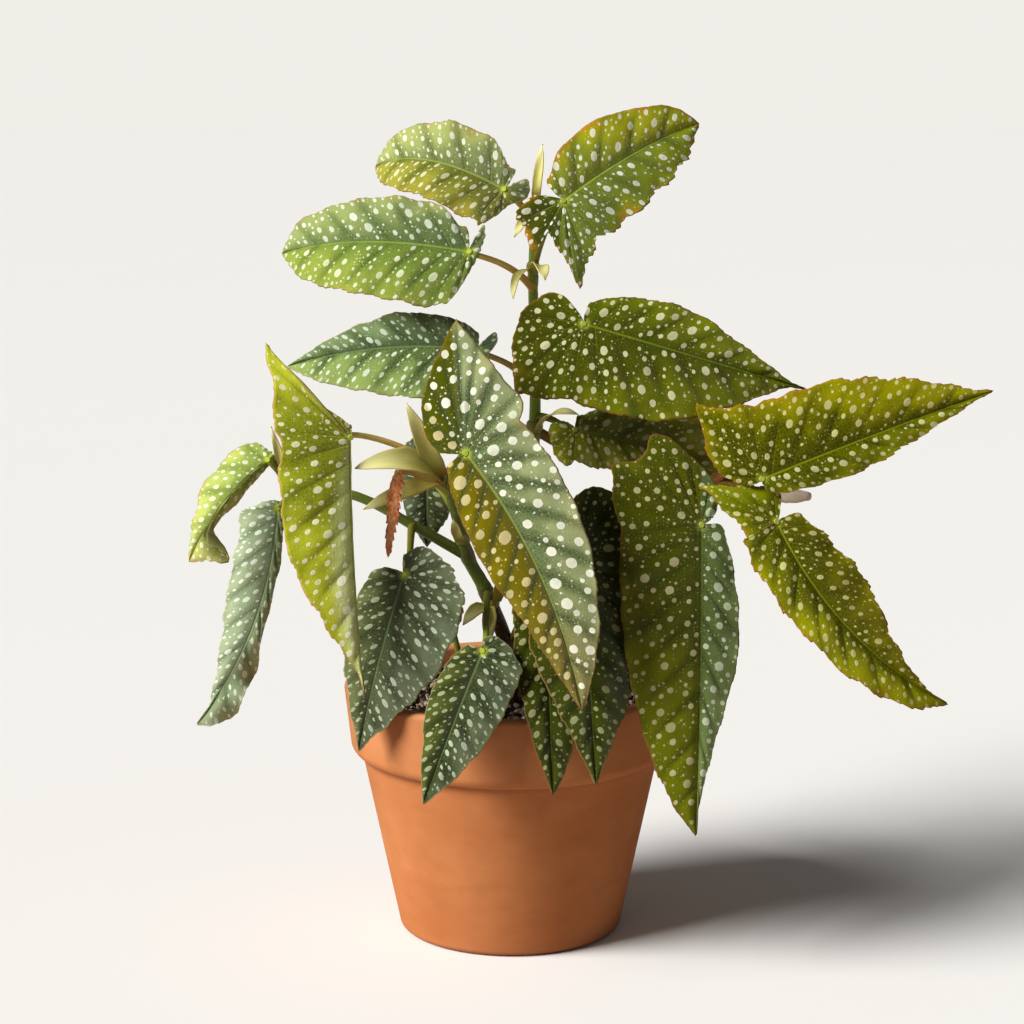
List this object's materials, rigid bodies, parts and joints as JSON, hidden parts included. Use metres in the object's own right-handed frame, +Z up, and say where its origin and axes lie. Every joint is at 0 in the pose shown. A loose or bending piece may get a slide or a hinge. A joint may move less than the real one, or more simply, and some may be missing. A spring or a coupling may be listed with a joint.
{
  "type": "potted cane begonia",
  "caption": "Potted cane begonia: a clay flowerpot of soil with jointed upright canes, side branches and large wing-shaped, toothed leaves with pale spots.",
  "frame": {"origin": "middle of the whole plant's bounding box in X and Y, at the height of the pot's foot; the pot's own axis stands 33 mm from it towards -X", "axes": "+Z up, -Y the side that most leaves face, +X towards the leaves that reach furthest from the pot"},
  "size_m": [0.344, 0.2, 0.3711],
  "materials": {
    "terracotta": "unglazed, matt, fired clay",
    "potting_soil": "rough, crumbly, dark",
    "cane_bark": "smooth, slightly waxy green bark",
    "green_leaf": "glossy leaf, mid green with pale spots",
    "fresh_leaf": "glossy leaf, yellow green with pale spots",
    "olive_leaf": "glossy leaf, olive green with pale spots",
    "teal_leaf": "glossy leaf, blue green with pale spots",
    "deep_leaf": "glossy leaf, deep green with pale spots",
    "young_leaf": "matt, rough, unfolding orange leaf",
    "bract": "thin, dull, pale green",
    "bud": "smooth, dull, pink"
  },
  "bodies": {
    "root": {"pot": "terracotta", "soil": "potting_soil", "cane_tall": "cane_bark", "cane_low": "cane_bark", "leaf_top_right": "green_leaf", "leaf_top_left": "green_leaf", "leaf_upper_left": "green_leaf", "leaf_mid_left": "teal_leaf", "leaf_upper_right": "green_leaf", "leaf_centre": "olive_leaf", "leaf_left_tall": "fresh_leaf", "leaf_far_left_upper": "fresh_leaf", "leaf_far_left_lower": "teal_leaf", "leaf_low_left": "teal_leaf", "leaf_low_centre": "teal_leaf", "leaf_low_middle": "deep_leaf", "leaf_low_right": "deep_leaf", "leaf_right_hanging": "deep_leaf", "leaf_right_upper": "olive_leaf", "leaf_right_lower": "fresh_leaf", "leaf_inner_centre": "deep_leaf", "leaf_inner_right": "deep_leaf", "leaf_behind_bracts": "deep_leaf", "leaf_basal": "green_leaf", "leaf_back_high": "green_leaf", "leaf_back_middle": "deep_leaf", "leaf_back_right": "green_leaf", "leaf_back_low": "teal_leaf", "young_leaf": "young_leaf", "bract_spike": "bract", "bracts_upper": "bract", "bracts_middle": "bract", "bracts_flower": "bract", "bract_joint": "bract", "bracts_low": "bract", "bract_far_left": "bract", "bud": "bud"}
  },
  "joints": []
}
